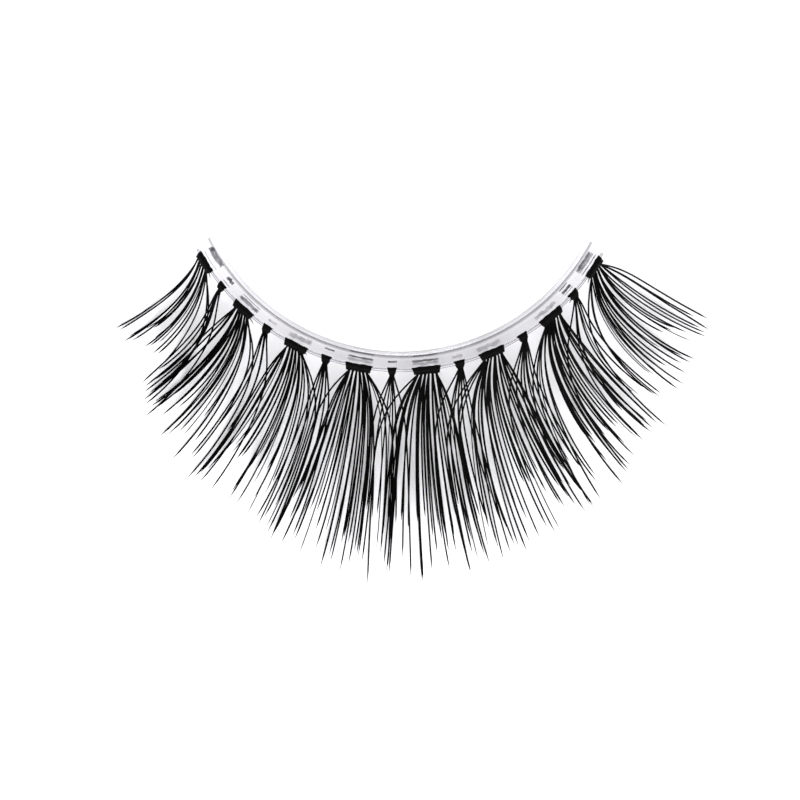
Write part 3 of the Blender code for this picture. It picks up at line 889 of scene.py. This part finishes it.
world = bpy.data.worlds.new("pale_surround")
bpy.context.scene.world = world
world.use_nodes = True
nodes, links = world.node_tree.nodes, world.node_tree.links
backdrop = nodes["Background"]
coordinates = nodes.new("ShaderNodeTexCoord")
split = nodes.new("ShaderNodeSeparateXYZ")
links.new(coordinates.outputs["Generated"], split.inputs["Vector"])
pale = add_ramp(nodes, links, split.outputs["Z"], ((0.0, HORIZON), (0.5, OVERHEAD)))
links.new(pale, backdrop.inputs["Color"])
backdrop.inputs["Strength"].default_value = 1.0

lamp_data = bpy.data.lights.new("front_softbox", "AREA")
lamp_data.shape = "RECTANGLE"
lamp_data.size = LAMP_WIDTH
lamp_data.size_y = LAMP_DEPTH
lamp_data.energy = LAMP_POWER
lamp = bpy.data.objects.new("front_softbox", lamp_data)
lamp.location = LAMP_PLACE
lamp.rotation_euler = (LAMP_TIP_ANGLE, 0.0, LAMP_TURN_ANGLE)
bpy.context.scene.collection.objects.link(lamp)
bpy.context.scene.view_settings.view_transform = "Standard"


# Camera: a long lens, 65 degrees above the band's plane and square to its middle, with the strip turned
# a little in the frame. PIXEL is the size of one picture element at the strip, the band's own origin
# falls at ORIGIN_COLUMN, ORIGIN_LINE, and MIDDLE_DEPTH is where along the line of sight PIXEL holds.
PICTURE_WIDTH = 800
PIXEL = 0.000065
ORIGIN_COLUMN = 401.0
ORIGIN_LINE = 142.2
VIEW_RISE_ANGLE = np.radians(65.0)
PICTURE_TURN_ANGLE = np.radians(0.6)
MIDDLE_DEPTH = -0.0025
CLIP_NEAR = 0.01
CLIP_FAR = 20.0
LENS = 500.0
SENSOR = 36.0

sight = np.array([0.0, -np.cos(VIEW_RISE_ANGLE), np.sin(VIEW_RISE_ANGLE)])
picture_right = np.array([1.0, 0.0, 0.0])
picture_up = np.cross(sight, picture_right)
right_from_origin = (PICTURE_WIDTH / 2 - ORIGIN_COLUMN) * PIXEL
down_from_origin = (PICTURE_WIDTH / 2 - ORIGIN_LINE) * PIXEL
cos_turn, sin_turn = np.cos(PICTURE_TURN_ANGLE), np.sin(PICTURE_TURN_ANGLE)
middle = (right_from_origin * cos_turn + down_from_origin * sin_turn) * picture_right
middle = middle - (down_from_origin * cos_turn - right_from_origin * sin_turn) * picture_up
middle = middle + MIDDLE_DEPTH * sight
distance = LENS / SENSOR * PICTURE_WIDTH * PIXEL
view_right = cos_turn * picture_right + sin_turn * picture_up
view_up = np.cross(sight, view_right)
axes = turned(np.array([view_right, view_up, sight]))
camera_data = bpy.data.cameras.new("camera")
camera_data.lens = LENS
camera_data.sensor_width = SENSOR
camera_data.clip_start = CLIP_NEAR
camera_data.clip_end = CLIP_FAR
camera = bpy.data.objects.new("camera", camera_data)
camera.location = laid(middle) + distance * axes[2]
camera.rotation_euler = Matrix(axes.T.tolist()).to_euler()
bpy.context.scene.collection.objects.link(camera)
bpy.context.scene.camera = camera
